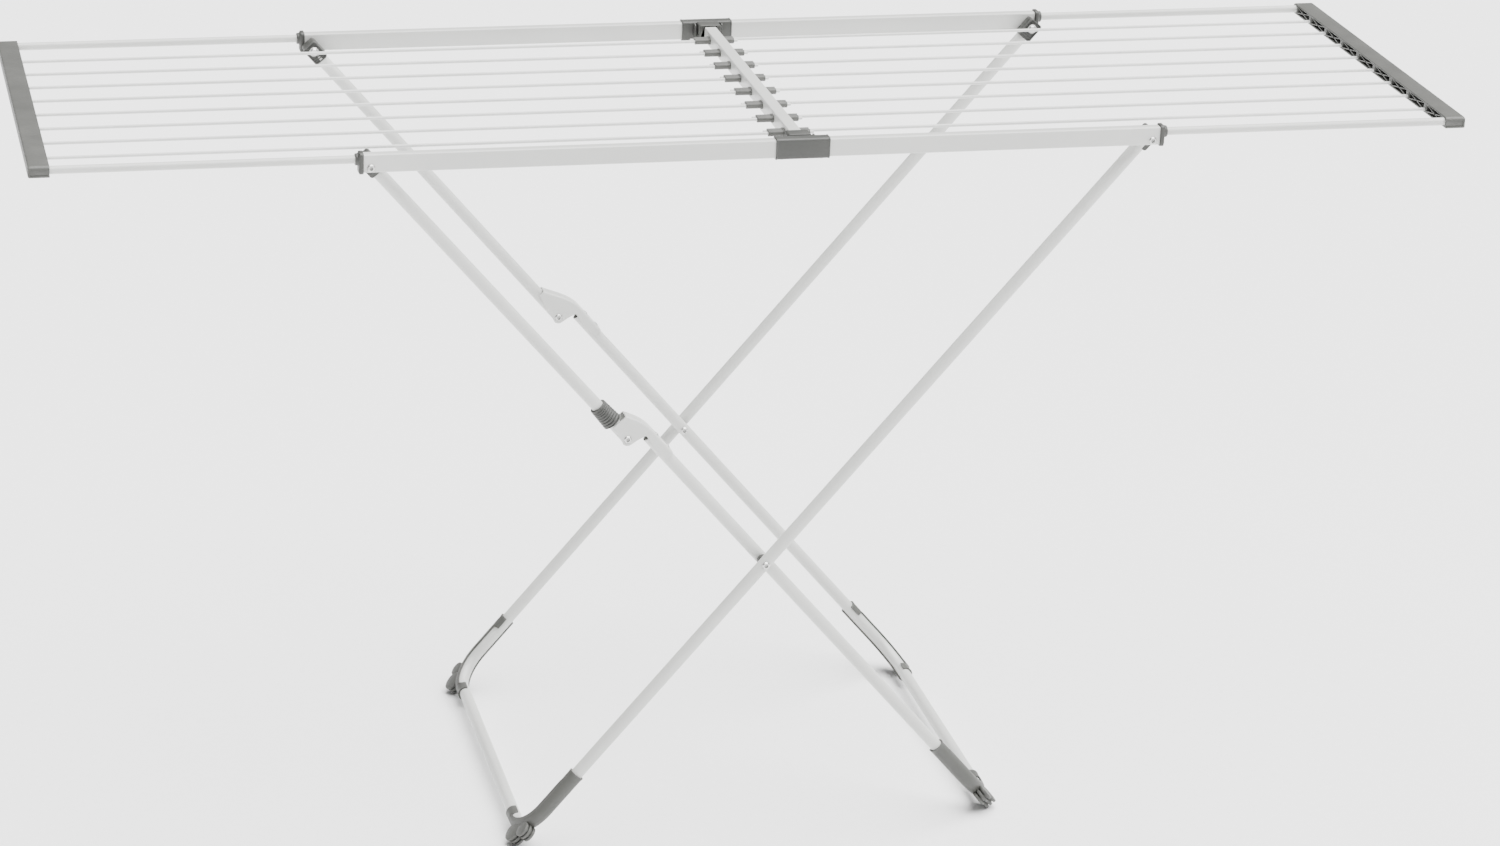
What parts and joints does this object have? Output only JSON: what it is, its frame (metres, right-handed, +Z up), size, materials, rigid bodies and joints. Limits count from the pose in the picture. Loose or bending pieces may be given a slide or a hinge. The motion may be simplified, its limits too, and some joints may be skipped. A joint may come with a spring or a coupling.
{
  "type": "clothes drying rack",
  "caption": "Free-standing clothes airer: a rail table with two slide-out wings of drying rods on crossed legs that fold at a knee.",
  "frame": {"origin": "on the floor, below the middle of the extended rack", "axes": "+X along the rack's length, +Z up, +Y across its width"},
  "size_m": [1.8, 0.5624, 0.952],
  "materials": {
    "white_steel": "satin white powder coat",
    "coated_wire": "smooth white coating on wire",
    "grey_plastic": "fine moulded texture, mid grey",
    "dark_plastic": "fine moulded texture, darker grey",
    "zinc_steel": "bright zinc plate"
  },
  "bodies": {
    "table": {"near_rail": "white_steel", "far_rail": "white_steel", "near_left_rail_cap": "dark_plastic", "near_right_rail_cap": "dark_plastic", "far_left_rail_cap": "dark_plastic", "far_right_rail_cap": "dark_plastic", "middle_bar": "white_steel", "rod_guides": "grey_plastic", "near_bar_saddle": "dark_plastic", "far_bar_saddle": "dark_plastic", "saddle_rivets": "zinc_steel", "inner_leg_pivot_bolts": "zinc_steel", "inner_leg_pivot_washers": "zinc_steel", "outer_leg_pivot_bolts": "zinc_steel", "outer_leg_pivot_washers": "zinc_steel"},
    "left_wing": {"left_wing_end_bar": "grey_plastic", "left_wing_near_tube": "white_steel", "left_wing_far_tube": "white_steel", "left_wing_sliders": "dark_plastic", "left_wing_rod_1": "coated_wire", "left_wing_rod_2": "coated_wire", "left_wing_rod_3": "coated_wire", "left_wing_rod_4": "coated_wire", "left_wing_rod_5": "coated_wire", "left_wing_rod_6": "coated_wire", "left_wing_rod_7": "coated_wire", "left_wing_rod_8": "coated_wire"},
    "right_wing": {"right_wing_end_bar": "grey_plastic", "right_wing_near_tube": "white_steel", "right_wing_far_tube": "white_steel", "right_wing_sliders": "dark_plastic", "right_wing_rod_1": "coated_wire", "right_wing_rod_2": "coated_wire", "right_wing_rod_3": "coated_wire", "right_wing_rod_4": "coated_wire", "right_wing_rod_5": "coated_wire", "right_wing_rod_6": "coated_wire", "right_wing_rod_7": "coated_wire", "right_wing_rod_8": "coated_wire"},
    "outer_legs": {"outer_leg_frame": "white_steel", "near_outer_leg_fitting": "dark_plastic", "far_outer_leg_fitting": "dark_plastic", "near_outer_foot_clip": "grey_plastic", "far_outer_foot_clip": "grey_plastic", "crossing_rivets": "zinc_steel", "crossing_spacers": "dark_plastic"},
    "upper_legs": {"near_upper_leg": "white_steel", "far_upper_leg": "white_steel", "near_upper_leg_fitting": "dark_plastic", "far_upper_leg_fitting": "dark_plastic"},
    "lower_legs": {"inner_leg_frame": "white_steel", "near_knee_bracket": "white_steel", "far_knee_bracket": "white_steel", "knee_pins": "zinc_steel", "knee_bracket_rivets": "zinc_steel", "near_inner_foot_clip": "grey_plastic", "far_inner_foot_clip": "grey_plastic", "crossing_rivet_ends": "zinc_steel"},
    "collar": {"lock_collar": "dark_plastic"}
  },
  "joints": [
    {"name": "outer_leg_fold", "type": "hinge", "parent": "table", "child": "outer_legs", "pos_m": [0.49, 0, 0.933], "axis": [0, 1, 0], "range_deg": [0, 42.52]},
    {"name": "upper_leg_fold", "type": "hinge", "parent": "table", "child": "upper_legs", "pos_m": [-0.49, 0, 0.933], "axis": [0, -1, 0], "range_deg": [0, 46.77]},
    {"name": "knee_fold", "type": "hinge", "parent": "upper_legs", "child": "lower_legs", "pos_m": [-0.15849, 0, 0.55537], "axis": [0, 1, 0], "range_deg": [0, 166.06]},
    {"name": "lock_collar_slide", "type": "slide", "parent": "upper_legs", "child": "collar", "axis": [-0.6594, -0.0308, 0.7512], "range_m": [0, 0.06]},
    {"name": "left_wing_slide", "type": "slide", "parent": "table", "child": "left_wing", "axis": [1, 0, 0], "range_m": [0, 0.362]},
    {"name": "right_wing_slide", "type": "slide", "parent": "table", "child": "right_wing", "axis": [-1, 0, 0], "range_m": [0, 0.362]}
  ],
  "couplings": [
    {"joint": "upper_leg_fold", "follows": "outer_leg_fold", "ratio": 1.0989},
    {"joint": "knee_fold", "follows": "outer_leg_fold", "ratio": 3.9034}
  ]
}
